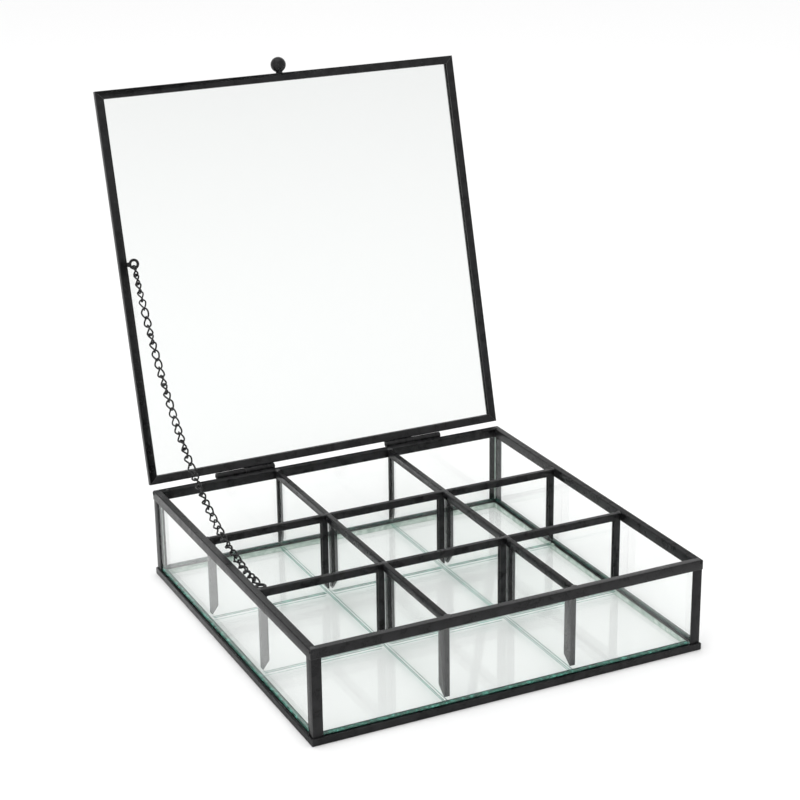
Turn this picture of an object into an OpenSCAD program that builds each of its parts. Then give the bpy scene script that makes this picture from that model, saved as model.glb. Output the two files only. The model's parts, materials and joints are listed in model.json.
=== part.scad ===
// Tea bag organizer box: a glass box framed in black metal channel, with nine
// compartments, a framed glass lid on two barrel hinges, and a curb chain that
// holds the lid open. Millimetres, +Z up, the front of the box towards -Y.
// The origin is on the table, under the middle of the front tray rail.

/* [Box] */
// Width of the box over its corner posts
box_w = 240; // [216:1:300]
// Depth of the box over its corner posts
box_d = 240; // [216:1:300]
// Height from the table to the top of the top rails
box_h = 56; // [48:0.5:80]

/* [Glass] */
// Thickness of the four outer panes
wall_glass = 2.5; // [2:0.1:3.5]
// Thickness of the floor pane
floor_glass = 3; // [2:0.1:4]
// Thickness of the divider panes
divider_glass = 1.5; // [1:0.1:2.5]
// Thickness of the lid pane
lid_glass = 2; // [1.5:0.1:3]
// Clearance between a pane and the metal on each side of it
glass_gap = 0.1; // [0.05:0.01:0.2]

/* [Rails and posts] */
// Metal thickness of the top rails
top_wall = 0.9; // [0.6:0.05:1.2]
// Height of the top rails
top_rail_h = 5.8; // [4.5:0.1:8]
// Metal thickness of the bottom tray rails
tray_wall = 0.6; // [0.4:0.05:1]
// Width of the bottom tray rails, seen from above
tray_rail_w = 5.2; // [4.6:0.1:6]
// How far the tray stands proud of the corner posts
tray_over = 0.9; // [0.4:0.1:1.5]
// Metal thickness of the corner posts
post_wall = 0.7; // [0.5:0.05:1]
// Width of each leg of a corner post
post_leg = 6; // [4:0.1:9]
// Rounding of the channels' outer corners
channel_round = 0.6; // [0.2:0.05:0.9]

/* [Dividers] */
// Metal thickness of the divider channels
divider_wall = 0.8; // [0.5:0.05:1]
// Height of the channel along a divider's top edge
cap_h = 4.4; // [3:0.1:7]
// Width of the upright channel at a divider's ends
leg_w = 5.5; // [3:0.1:8]
// How far the dividers stay below the top rails
cap_drop = 0.8; // [0.3:0.1:3]
// Height at which the upright channels end above the tray
foot_rise = 2.6; // [0.5:0.1:6]
// Clearance between a divider and what it stands between
seat_gap = 0.1; // [0.05:0.01:0.2]

/* [Lid] */
// Angle of the open lid, measured from the closed lid
lid_open = 105; // [95:1:115]
// Metal thickness of the lid rails above and below the pane
lid_wall = 0.9; // [0.6:0.05:1.2]
// Width of the lid rails
lid_rail_w = 5; // [4.4:0.1:6]
// How far the lid stands proud of the top rails at its sides
lid_over = 0.5; // [0:0.1:1]
// Gap under the closed lid
lid_rest = 0.3; // [0.2:0.05:0.5]
// Diameter of the knob's ball
knob_d = 9.6; // [7:0.1:12]
// Diameter of the knob's neck
knob_neck_d = 4.2; // [3:0.1:5]
// Length of the knob's neck that shows
knob_neck = 0.9; // [0.7:0.1:3]

/* [Hinges] */
// Distance between the middles of the two hinges
hinge_spacing = 117; // [80:1:160]
// Length of each hinge knuckle
knuckle_l = 19.4; // [12:0.1:26]
// Outer diameter of the knuckles
knuckle_d = 3.3; // [3:0.1:4]
// Gap between the two knuckles of a hinge
knuckle_gap = 0.2; // [0.1:0.05:0.5]
// Clearance between a knuckle and the edge of the other frame
hinge_gap = 0.3; // [0.25:0.05:0.5]
// Height of the hinge axis above the top rails
hinge_rise = 0.6; // [0.4:0.05:1]
// Diameter of the hinge pins
pin_d = 1.6; // [1.2:0.05:1.8]
// Clearance around a pin in its knuckles
pin_gap = 0.05; // [0.02:0.01:0.1]
// Length of the peened head at each end of a pin
pin_head = 0.5; // [0.3:0.05:0.8]

/* [Chain] */
// Distance between neighbouring links
chain_pitch = 5.45; // [5.2:0.01:6.5]
// Width of a link
link_w = 4.9; // [4.7:0.05:5.3]
// Diameter of the chain's wire
wire_d = 0.9; // [0.8:0.05:1]
// Play between two hooked links
link_play = 0.25; // [0.15:0.01:0.3]
// Length of the chain over the straight distance between its ends
chain_slack = 1.047; // [1.03:0.001:1.12]
// Distance from the hinge axis to the lid's eyelet
eyelet_along = 137.6; // [110:0.1:150]
// Diameter of an eyelet, at the middle of its wire
eyelet_d = 5; // [4.6:0.1:6]
// Diameter of an eyelet's wire
eyelet_wire = 1.7; // [1.4:0.05:1.9]
// Clearance between an eyelet and the pieces around it
eyelet_gap = 0.3; // [0.25:0.05:0.5]
// Clearance between the chain's lower end and the base eyelet
end_gap = 0.8; // [0.3:0.05:1]
// Depth of the base eyelet below the top of the top rails
eyelet_drop = 2; // [1.5:0.1:2.5]

/* [Hidden] */
SIDES = ["front", "right", "back", "left"];
CORNERS = ["front_left", "front_right", "back_right", "back_left"];
COLUMNS = ["left", "middle", "right"];
ROWS = ["front", "back"];
HANDS = ["left", "right"];

// Links in each rigid run of the chain, from the lid down to the base, and the
// quarter turns that the chain twists through along each run
run_links = [4, 5, 3, 6, 2, 5, 3, 1, 3, 2, 5, 5];
run_turns = [1, 2, 1, 2, 0, 2, 1, 0, 1, 0, 2, 2];

black_metal = "#2e2e30";
solder_black = "#3a3a3b";
clear_glass = [0.72, 0.87, 0.82, 0.35];

round_fn = 48;
small_fn = 24;

// Half sizes of the box, in the order [x, y]
post_half = [box_w / 2, box_d / 2];
pane_half = [for (h = post_half) h - post_wall];
top_half = [for (h = pane_half) h + glass_gap + top_wall];
tray_half = [for (h = post_half) h + tray_over];

// Channels and heights
top_rail_w = wall_glass + 2 * (glass_gap + top_wall);
tray_h = floor_glass + 2 * (glass_gap + tray_wall);
floor_top = tray_wall + glass_gap + floor_glass;
rail_foot = box_h - top_rail_h;
divider_w = divider_glass + 2 * (glass_gap + divider_wall);
divider_top = box_h - cap_drop;
divider_foot = tray_h + foot_rise;

// The clear space that the dividers share, and the dividers' places in it
inner_half = [for (i = [0, 1]) min(top_half[i] - top_rail_w, tray_half[i] - tray_rail_w) - seat_gap];
cell = [for (h = inner_half) (2 * h - 2 * divider_w) / 3];
divider_at = [for (c = cell) (c + divider_w) / 2];

// Lid, as it lies closed, and its hinge axis
lid_t = lid_glass + 2 * (glass_gap + lid_wall);
lid_under = box_h + lid_rest;
lid_half_w = top_half[0] + lid_over;
lid_back = top_half[1];
lid_front = -top_half[1] - lid_over;
knuckle_r = knuckle_d / 2;
axis_y = top_half[1] + hinge_gap + knuckle_r;
axis_z = box_h + hinge_rise;

// Eyelets: a ring and the tab that joins it to its rail
eyelet_r = eyelet_d / 2;
eyelet_out = eyelet_r + eyelet_wire / 2;
eyelet_x = -(top_half[0] - top_rail_w - eyelet_gap - eyelet_out);
base_eyelet_y = -divider_at[1] + divider_w / 2 + eyelet_gap + eyelet_out;
base_eyelet_z = box_h - eyelet_drop;
lid_eyelet_z = lid_under + lid_wall + glass_gap - eyelet_gap - link_w / 2;

// A link's centre line: two round ends joined by two legs
link_c = chain_pitch + wire_d + link_play;
link_r = (link_w - wire_d) / 2;
leg_half = link_c / 2 - link_r;

// Ends of the chain in the plane x = eyelet_x, as [y, z]: the wire of the lid's
// eyelet that the first link hooks round, and the outer end of the last link
open_dir = [-cos(lid_open), sin(lid_open)];
open_up = [sin(lid_open), cos(lid_open)];
chain_top = [axis_y, axis_z] + (eyelet_along - eyelet_r) * open_dir
    + (lid_eyelet_z - axis_z) * open_up;
chain_end = [base_eyelet_y + eyelet_out + end_gap + wire_d / 2, base_eyelet_z];
first_at = link_c / 2 - (eyelet_wire + wire_d) / 2 - link_play;
last_at = link_c / 2;
chain_span = chain_top - chain_end;
link_count = round((chain_slack * norm(chain_span) - first_at - last_at) / chain_pitch) + 1;
chain_len = (link_count - 1) * chain_pitch + first_at + last_at;

// Hyperbolic functions for the hanging curve
function sinh(x) = (exp(x) - exp(-x)) / 2;
function cosh(x) = (exp(x) + exp(-x)) / 2;
function asinh(x) = ln(x + sqrt(x * x + 1));
function atanh(x) = ln((1 + x) / (1 - x)) / 2;
function sum(v, n) = n <= 0 ? 0 : v[n - 1] + sum(v, n - 1);

// Newton's steps towards the x for which sinh(x) / x = q
function sag_root(q, x, steps) = steps == 0 ? x
    : sag_root(q, x - (sinh(x) / x - q) * x * x / (x * cosh(x) - sinh(x)), steps - 1);

// The catenary of length chain_len from chain_end up to chain_top
sag_q = sqrt(chain_len * chain_len - chain_span[1] * chain_span[1]) / chain_span[0];
sag_a = chain_span[0] / 2 / sag_root(sag_q, sqrt(6 * (sag_q - 1)), 12);
sag_y = (chain_end[0] + chain_top[0]) / 2 - sag_a * atanh(chain_span[1] / chain_len);
sag_start = sag_a * sinh((chain_end[0] - sag_y) / sag_a);
sag_base = chain_end[1] - sag_a * cosh((chain_end[0] - sag_y) / sag_a);

function sag_u(s) = asinh((sag_start + s) / sag_a);
function chain_point(s) = [sag_y + sag_a * sag_u(s), sag_base + sag_a * cosh(sag_u(s))];
function chain_slope(s) = atan(sinh(sag_u(s)));
function link_at(k) = chain_len - first_at - k * chain_pitch;

// First link of each run, with the runs in proportion to run_links
RUNS = len(run_links);
function run_start(i) = round(sum(run_links, i) * link_count / sum(run_links, RUNS));

// Twist of the chain: a whole number of quarter turns along each run, so that
// where two runs meet, one of the two hooked wires lies along X and is the pivot
twist_table = [for (i = [0 : RUNS]) [run_start(i) - 0.5, 45 + 90 * sum(run_turns, i)]];

// Stations round a link as [u, v], u along the chain and v across it
end_steps = 5;
leg_steps = 3;
stations = concat(
    [for (i = [0 : end_steps]) let (a = 180 * i / end_steps - 90)
        [leg_half + link_r * cos(a), link_r * sin(a)]],
    [for (i = [1 : leg_steps - 1]) [leg_half * (1 - 2 * i / leg_steps), link_r]],
    [for (i = [0 : end_steps]) let (a = 180 * i / end_steps + 90)
        [link_r * cos(a) - leg_half, link_r * sin(a)]],
    [for (i = [1 : leg_steps - 1]) [leg_half * (2 * i / leg_steps - 1), -link_r]]
);

// A curb link is twisted a quarter turn from end to end, along its legs
twist_half = leg_half + link_r / 2;
function curb(u) = 45 * max(-1, min(1, u / twist_half));
function in_space(p) = let (a = curb(p[0])) [p[1] * cos(a), p[0], p[1] * sin(a)];
function unit(v) = v / norm(v);
function wire_ring(i, sides) = let (
    n = len(stations),
    p = in_space(stations[i]),
    along = unit(in_space(stations[(i + 1) % n]) - in_space(stations[(i + n - 1) % n])),
    a = curb(stations[i][0]),
    out = unit(cross(along, [-sin(a), 0, cos(a)])),
    up = cross(out, along)
) [for (j = [0 : sides - 1]) p + wire_d / 2 * (cos(360 * j / sides) * out + sin(360 * j / sides) * up)];

wire_sides = 6;

// ---- Channels -------------------------------------------------------------

// A bar's section from y = 0 to y = depth, rounded at the far end
module rounded_end(w, depth, r) {
    translate([-w / 2, 0]) square([w, depth - r]);
    translate([-w / 2 + r, 0]) square([w - 2 * r, depth]);
    for (s = [-1, 1]) translate([s * (w / 2 - r), depth - r]) circle(r, $fn = small_fn);
}

// Section of a folded channel: mouth at y = 0, web along y = depth
module channel_section(w, depth, slot, web) {
    difference() {
        rounded_end(w, depth, min(channel_round, web, (w - slot) / 2));
        translate([-slot / 2, -1]) square([slot, depth - web + 1]);
    }
}

// A plan with both ends cut at 45 degrees, its long edge along y = 0
module mitre_plan(length, w) {
    polygon([[-length / 2, 0], [length / 2, 0], [length / 2 - w, w], [-length / 2 + w, w]]);
}

// A rail whose channel opens inwards, as round the floor and the lid
module framing_rail(length, w, t, slot, web) {
    intersection() {
        rotate([90, 0, 90]) linear_extrude(length, center = true)
            translate([w, t / 2]) rotate(90) channel_section(t, w, slot, web);
        linear_extrude(t) mitre_plan(length, w);
    }
}

// A rail whose channel opens downwards, as on the walls' top edges
module capping_rail(length, w, h, slot, web) {
    intersection() {
        rotate([90, 0, 90]) linear_extrude(length, center = true)
            translate([w / 2, 0]) channel_section(w, h, slot, web);
        linear_extrude(h) mitre_plan(length, w);
    }
}

// Places what is drawn for the front side on side i: 0 front, 1 right, 2 back, 3 left
module on_side(i, half) {
    rotate(90 * i) translate([0, -half[(i + 1) % 2]]) children();
}

// ---- Base -----------------------------------------------------------------

module floor_pane() {
    size = [for (h = tray_half) 2 * (h - tray_wall - glass_gap)];
    color(clear_glass) translate([-size[0] / 2, -size[1] / 2, tray_wall + glass_gap])
        cube([size[0], size[1], floor_glass]);
}

module tray_rail(i) {
    color(black_metal) on_side(i, tray_half)
        framing_rail(2 * tray_half[i % 2], tray_rail_w, tray_h, floor_glass + 2 * glass_gap, tray_wall);
}

module post(i) {
    sx = [-1, 1, 1, -1][i];
    sy = [-1, -1, 1, 1][i];
    color(black_metal) translate([sx * post_half[0], sy * post_half[1], tray_h])
        linear_extrude(rail_foot - tray_h) scale_sign(sx, sy) difference() {
            square(post_leg);
            translate([post_wall, post_wall]) square(post_leg);
        }
}

// Turns a corner drawn towards +X and +Y so that it points into the box
module scale_sign(sx, sy) {
    mirror([sx > 0 ? 1 : 0, 0]) mirror([0, sy > 0 ? 1 : 0]) children();
}

module wall_pane(i) {
    // The front and back panes run from side to side, the side panes between them
    half = i % 2 == 0 ? pane_half[0] : pane_half[1] - wall_glass - glass_gap;
    color(clear_glass) on_side(i, pane_half) translate([-half, 0, tray_h])
        cube([2 * half, wall_glass, box_h - top_wall - glass_gap - tray_h]);
}

module top_rail(i) {
    color(black_metal) on_side(i, top_half) translate([0, 0, rail_foot])
        capping_rail(2 * top_half[i % 2], top_rail_w, top_rail_h, wall_glass + 2 * glass_gap, top_wall);
}

// ---- Dividers, drawn from x = 0 to x = length and standing along X ---------

// Side view of a divider's frame: a cap with a leg at each end, feet cut at 45 degrees
module frame_outline(length) {
    low = divider_foot + leg_w - divider_wall;
    rotate([90, 0, 0]) linear_extrude(2 * divider_w, center = true) polygon([
        [0, divider_top], [0, divider_foot], [divider_wall, divider_foot], [leg_w, low],
        [leg_w, divider_top - cap_h], [length - leg_w, divider_top - cap_h], [length - leg_w, low],
        [length - divider_wall, divider_foot], [length, divider_foot], [length, divider_top]
    ]);
}

// Leaves room for the cap of a long divider beside the frame's upper corner
module nip(depth) {
    if (depth > 0)
        translate([-1, -divider_w, divider_top - cap_h - seat_gap])
            cube([depth + 1, 2 * divider_w, cap_h + 2]);
}

module divider_frame(length, left_nip, right_nip) {
    slot = divider_glass + 2 * glass_gap;
    r = min(channel_round, divider_wall);
    color(black_metal) difference() {
        intersection() {
            frame_outline(length);
            translate([-1, 0, 0]) rotate([90, 0, 90]) linear_extrude(length + 2)
                rounded_end(divider_w, divider_top, r);
        }
        translate([divider_wall, -slot / 2, 0])
            cube([length - 2 * divider_wall, slot, divider_top - divider_wall]);
        nip(left_nip);
        translate([length, 0, 0]) mirror([1, 0, 0]) nip(right_nip);
    }
}

module divider_pane(length) {
    inset = divider_wall + glass_gap;
    color(clear_glass) translate([inset, -divider_glass / 2, floor_top])
        cube([length - 2 * inset, divider_glass, divider_top - inset - floor_top]);
}

// The long dividers run from front to back
module at_long_divider(h) {
    translate([[-1, 1][h] * divider_at[0], -inner_half[1], 0]) rotate(90) children();
}

// The short dividers stand between the long panes and the side walls
nip_depth = divider_w / 2 - divider_glass / 2;
beside_pane = divider_glass / 2 + seat_gap;
column_from = [-inner_half[0], -divider_at[0] + beside_pane, divider_at[0] + beside_pane];
column_to = [-divider_at[0] - beside_pane, divider_at[0] - beside_pane, inner_half[0]];

function column_length(c) = column_to[c] - column_from[c];

module at_short_divider(r, c) {
    translate([column_from[c], [-1, 1][r] * divider_at[1], 0]) children();
}

// ---- Hinges: the knuckle of the base is the outer one ----------------------

hinge_l = 2 * knuckle_l + knuckle_gap;

// A knuckle from x = 0 outwards, with the solder that joins it to a rail
module knuckle(solder_low, solder_high) {
    color(black_metal) difference() {
        union() {
            rotate([0, 90, 0]) cylinder(h = knuckle_l, r = knuckle_r, $fn = round_fn);
            translate([0, -knuckle_r - hinge_gap, solder_low])
                cube([knuckle_l, knuckle_r + hinge_gap, solder_high - solder_low]);
        }
        translate([-1, 0, 0]) rotate([0, 90, 0])
            cylinder(h = knuckle_l + 2, r = pin_d / 2 + pin_gap, $fn = round_fn);
    }
}

solder_in = pin_d / 2 + pin_gap + 0.2;
module base_knuckle(h) {
    side = [-1, 1][h];
    translate([side * (hinge_spacing + knuckle_gap + (side > 0 ? 0 : 2 * knuckle_l)) / 2, axis_y, axis_z])
        knuckle(-knuckle_r + 0.05, -max(solder_in - 0.3, hinge_rise));
}

module lid_knuckle(h) {
    side = [-1, 1][h];
    translate([side * (hinge_spacing - knuckle_gap - (side > 0 ? 2 * knuckle_l : 0)) / 2, axis_y, axis_z])
        knuckle(max(solder_in - 0.3, lid_under - axis_z), knuckle_r - 0.05);
}

module hinge_pin(h) {
    side = [-1, 1][h];
    end = hinge_l / 2;
    color(solder_black) translate([side * hinge_spacing / 2, axis_y, axis_z]) rotate([0, 90, 0])
        rotate_extrude($fn = round_fn) polygon(concat(
            [[0, -end - pin_head], [pin_d / 2, -end - pin_head], [pin_d / 2 + pin_head / 2, -end - pin_gap]],
            [[pin_d / 2, -end - pin_gap], [pin_d / 2, end + pin_gap]],
            [[pin_d / 2 + pin_head / 2, end + pin_gap], [pin_d / 2, end + pin_head], [0, end + pin_head]]
        ));
}

// ---- Lid, drawn closed and swung open about the hinge axis -----------------

module swung_open() {
    translate([0, axis_y, axis_z]) rotate([-lid_open, 0, 0]) translate([0, -axis_y, -axis_z]) children();
}

lid_mid = (lid_back + lid_front) / 2;
lid_half = [lid_half_w, (lid_back - lid_front) / 2];

module lid_rail(i) {
    color(black_metal) translate([0, lid_mid, lid_under]) on_side(i, lid_half)
        framing_rail(2 * lid_half[i % 2], lid_rail_w, lid_t, lid_glass + 2 * glass_gap, lid_wall);
}

module lid_pane() {
    size = [for (h = lid_half) 2 * (h - lid_wall - glass_gap)];
    color(clear_glass) translate([-size[0] / 2, lid_mid - size[1] / 2, lid_under + lid_wall + glass_gap])
        cube([size[0], size[1], lid_glass]);
}

// A turned ball on a short neck, standing out of the lid's free edge
module lid_knob() {
    ball_at = knob_neck + sqrt(pow(knob_d, 2) - pow(knob_neck_d, 2)) / 2;
    color(black_metal) translate([0, lid_front, lid_under + lid_t / 2]) rotate([90, 0, 0])
        rotate_extrude($fn = round_fn) union() {
            square([knob_neck_d / 2, ball_at]);
            translate([0, ball_at]) intersection() {
                circle(knob_d / 2, $fn = round_fn);
                translate([0, -knob_d]) square(2 * knob_d);
            }
        }
}

// A ring lying flat at the origin, on a stem that stands beside the rail at
// x = -reach, with a foot on the rail between the heights foot_low and foot_high
module eyelet(reach, foot_low, foot_high) {
    tab_w = eyelet_wire * 1.6;
    low = min(foot_low, -eyelet_wire / 4);
    high = max(foot_high, eyelet_wire / 4);
    color(black_metal) union() {
        rotate_extrude($fn = round_fn) translate([eyelet_r, 0]) circle(eyelet_wire / 2, $fn = small_fn);
        translate([-reach, -tab_w / 2, foot_low]) cube([reach - eyelet_r, tab_w, foot_high - foot_low]);
        translate([eyelet_gap - reach, -tab_w / 2, low])
            cube([reach - eyelet_gap - eyelet_r, tab_w, high - low]);
    }
}

module lid_eyelet() {
    translate([eyelet_x, axis_y - eyelet_along, lid_eyelet_z])
        eyelet(lid_half_w - lid_rail_w + eyelet_x, lid_under - lid_eyelet_z,
            lid_under - lid_eyelet_z + lid_wall);
}

module base_eyelet() {
    translate([eyelet_x, base_eyelet_y, base_eyelet_z])
        eyelet(top_half[0] - top_rail_w + eyelet_x, -eyelet_wire / 4, eyelet_wire / 4);
}

// ---- Chain: twisted curb links along the hanging curve ---------------------

module link() {
    n = len(stations);
    polyhedron(
        points = [for (i = [0 : n - 1]) each wire_ring(i, wire_sides)],
        faces = [for (i = [0 : n - 1], j = [0 : wire_sides - 1]) let (
            i2 = (i + 1) % n,
            j2 = (j + 1) % wire_sides,
            a = i * wire_sides + j,
            b = i * wire_sides + j2,
            c = i2 * wire_sides + j2,
            d = i2 * wire_sides + j
        ) each [[a, b, c], [a, c, d]]]
    );
}

module chain_run(i) {
    color(black_metal) for (k = [run_start(i) : 1 : run_start(i + 1) - 1]) {
        s = link_at(k);
        p = chain_point(s);
        translate([eyelet_x, p[0], p[1]]) rotate([chain_slope(s), 0, 0])
            rotate([0, -lookup(k, twist_table), 0]) link();
    }
}

// ---- Nodes ----------------------------------------------------------------

// What is drawn from the centre of the box moves to the origin at its front
translate([0, tray_half[1] - tray_rail_w / 2, 0]) {
    floor_pane();  // floor_glass
    for (i = [0 : 3]) {
        tray_rail(i);
        post(i);
        wall_pane(i);
        top_rail(i);
        swung_open() lid_rail(i);
    }
    for (h = [0, 1]) {
        at_long_divider(h) divider_pane(2 * inner_half[1]);
        at_long_divider(h) divider_frame(2 * inner_half[1], 0, 0);
        base_knuckle(h);
        swung_open() lid_knuckle(h);
        hinge_pin(h);
    }
    for (r = [0, 1], c = [0 : 2]) {
        at_short_divider(r, c) divider_pane(column_length(c));
        at_short_divider(r, c)
                divider_frame(column_length(c), c > 0 ? nip_depth : 0, c < 2 ? nip_depth : 0);
    }
    swung_open() lid_pane();  // lid_glass
    swung_open() lid_knob();
    swung_open() lid_eyelet();
    base_eyelet();
    for (i = [0 : RUNS - 1])
        chain_run(i);
}
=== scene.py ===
"""Looks of the tea bag organizer box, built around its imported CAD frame. Metres, +Z up."""

import json
import logging
import math
from collections.abc import Callable, Iterable
from dataclasses import dataclass
from enum import Enum

import bmesh
import bpy
from mathutils import Matrix, Quaternion, Vector, noise

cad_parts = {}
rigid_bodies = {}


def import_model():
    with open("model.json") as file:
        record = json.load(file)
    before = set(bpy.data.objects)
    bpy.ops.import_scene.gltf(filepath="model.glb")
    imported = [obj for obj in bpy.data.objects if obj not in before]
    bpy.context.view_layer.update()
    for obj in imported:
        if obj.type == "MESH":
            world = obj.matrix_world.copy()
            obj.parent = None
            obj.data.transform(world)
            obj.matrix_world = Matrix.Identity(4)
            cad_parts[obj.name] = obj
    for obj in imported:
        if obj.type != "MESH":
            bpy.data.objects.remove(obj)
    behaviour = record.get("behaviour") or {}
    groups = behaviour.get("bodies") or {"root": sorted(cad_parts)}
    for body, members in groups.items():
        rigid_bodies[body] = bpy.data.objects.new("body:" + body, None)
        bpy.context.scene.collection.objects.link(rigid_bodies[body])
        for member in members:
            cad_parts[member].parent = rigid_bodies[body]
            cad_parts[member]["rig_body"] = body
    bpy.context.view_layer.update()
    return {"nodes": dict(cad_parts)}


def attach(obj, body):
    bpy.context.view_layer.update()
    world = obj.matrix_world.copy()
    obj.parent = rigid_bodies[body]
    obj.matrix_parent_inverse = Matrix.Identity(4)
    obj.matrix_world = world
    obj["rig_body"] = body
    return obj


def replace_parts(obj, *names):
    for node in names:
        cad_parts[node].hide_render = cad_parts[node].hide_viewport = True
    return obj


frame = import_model()
LOG = logging.getLogger("tea_box")
MM = 0.001
BOX_MIDDLE = 118.3  # mm from the frame's origin back to the middle of the box
SIDES = ("front", "right", "back", "left")
MEAN = 0.5  # of a cloud's values
Colour = tuple[float, float, float]
Point = tuple[float, float, float]
Span = tuple[float, float]
Line = tuple[Point, Point]
Spot = tuple[Point, Point]


class Slot(Enum):
    """The record's material slots."""

    FRAME = "frame_metal"
    FITTING = "fitting_metal"
    CHAIN = "chain_metal"
    GLASS = "clear_glass"


# ---- Shader nodes ------------------------------------------------------------


class Wire:
    """A shader node's output, which can be used in sums with numbers and other wires."""

    def __init__(self, nodes: "Nodes", socket: bpy.types.NodeSocket) -> None:
        """Keeps the socket and the nodes that it belongs to.

        Args:
            nodes: The material's nodes.
            socket: The output socket.
        """
        self.nodes = nodes
        self.socket = socket

    def _math(self, operation: str, first: "Wire | float", second: "Wire | float") -> "Wire":
        """Adds one Math node.

        Args:
            operation: The Math node's operation.
            first: Its first value.
            second: Its second value.

        Returns:
            The result.
        """
        return self.nodes.add("Math", {"operation": operation}, {0: first, 1: second})

    def __add__(self, other: "Wire | float") -> "Wire":
        """Returns self + other."""
        return self._math("ADD", self, other)

    def __radd__(self, other: float) -> "Wire":
        """Returns other + self."""
        return self._math("ADD", other, self)

    def __sub__(self, other: "Wire | float") -> "Wire":
        """Returns self - other."""
        return self._math("SUBTRACT", self, other)

    def __rsub__(self, other: float) -> "Wire":
        """Returns other - self."""
        return self._math("SUBTRACT", other, self)

    def __mul__(self, other: "Wire | float") -> "Wire":
        """Returns self * other."""
        return self._math("MULTIPLY", self, other)

    def __rmul__(self, other: float) -> "Wire":
        """Returns other * self."""
        return self._math("MULTIPLY", other, self)

    def __pow__(self, other: float) -> "Wire":
        """Returns self to the power other."""
        return self._math("POWER", self, other)

    def __rpow__(self, other: float) -> "Wire":
        """Returns other to the power self."""
        return self._math("POWER", other, self)

    def limited(self, low: float, high: float) -> "Wire":
        """Returns self, spread so that low becomes 0 and high becomes 1, and kept between."""
        return self.nodes.add("MapRange", {"clamp": True}, {0: self, 1: low, 2: high})


class Nodes:
    """The shader nodes of one material."""

    def __init__(self, name: str) -> None:
        """Makes an empty material.

        Args:
            name: The material's name.
        """
        self.material = bpy.data.materials.new(name)
        self.material.use_nodes = True
        self.tree = self.material.node_tree
        self.tree.nodes.clear()

    def add(self, kind: str, settings: dict[str, object] | None = None,
            sockets: dict[int | str, object] | None = None, output: int | str = 0) -> Wire:
        """Adds any node.

        Args:
            kind: The node's type, without ShaderNode.
            settings: Its settings, set first. The key stops fills a colour ramp.
            sockets: The value or Wire of each input, by name or number.
            output: The output that is wanted, by name or number.

        Returns:
            That output.
        """
        node = self.tree.nodes.new("ShaderNode" + kind)
        for key, value in (settings or {}).items():
            if key == "stops":
                self._fill_ramp(node.color_ramp, value)
            else:
                setattr(node, key, value)
        for key, value in (sockets or {}).items():
            if isinstance(value, Wire):
                self.tree.links.new(value.socket, node.inputs[key])
            elif isinstance(value, tuple) and node.inputs[key].type == "RGBA":
                node.inputs[key].default_value = (*value, 1.0)
            else:
                node.inputs[key].default_value = value
        return Wire(self, node.outputs[output])

    @staticmethod
    def _fill_ramp(ramp: bpy.types.ColorRamp, stops: list[tuple[float, Colour]]) -> None:
        """Sets a ramp's stops.

        Args:
            ramp: The colour ramp.
            stops: The position and colour of each stop, in order.
        """
        while len(ramp.elements) < len(stops):
            ramp.elements.new(1.0)
        for element, (position, colour) in zip(ramp.elements, stops):
            element.position = position
            element.color = (*colour, 1.0)

    def place(self) -> Wire:
        """Returns the piece's own coordinates, in metres."""
        return self.add("TexCoord", output="Object")

    def cloud(self, place: Wire, size_mm: float, detail: float = 3.0, rough: float = 0.55,
              offset: float = 0.0) -> Wire:
        """Adds noise whose patches are about a given size.

        Args:
            place: The coordinates.
            size_mm: The size of a patch.
            detail: Octaves of finer noise.
            rough: How strong the finer octaves are.
            offset: Moves the pattern, so that two clouds differ.

        Returns:
            Values round 0.5.
        """
        moved = self.add("VectorMath", {"operation": "ADD"}, {0: place, 1: (offset, offset, offset)})
        return self.add("TexNoise", None, {
            "Vector": moved, "Scale": 1.0 / (size_mm * MM), "Detail": detail, "Roughness": rough})

    def blend(self, factor: Wire | float, first: Wire | Colour, second: Wire | Colour) -> Wire:
        """Mixes two colours.

        Args:
            factor: 0 gives the first and 1 the second.
            first: A colour.
            second: Another colour.

        Returns:
            The mixed colour.
        """
        return self.add("Mix", {"data_type": "RGBA"}, {0: factor, 6: first, 7: second}, output=2)

    def bump(self, height: Wire, relief_mm: float, strength: float = 1.0) -> Wire:
        """Turns a height into a normal.

        Args:
            height: The height, from 0 to 1.
            relief_mm: How high 1 is.
            strength: How much of it shows.

        Returns:
            The normal.
        """
        return self.add("Bump", None, {
            "Strength": strength, "Distance": relief_mm * MM, "Height": height}, output="Normal")

    def done(self, shader: Wire) -> bpy.types.Material:
        """Joins the shader to the material's output.

        Args:
            shader: The finished shader.

        Returns:
            The material.
        """
        node = self.tree.nodes.new("ShaderNodeOutputMaterial")
        self.tree.links.new(shader.socket, node.inputs["Surface"])
        return self.material


# ---- Finishes ----------------------------------------------------------------


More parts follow.
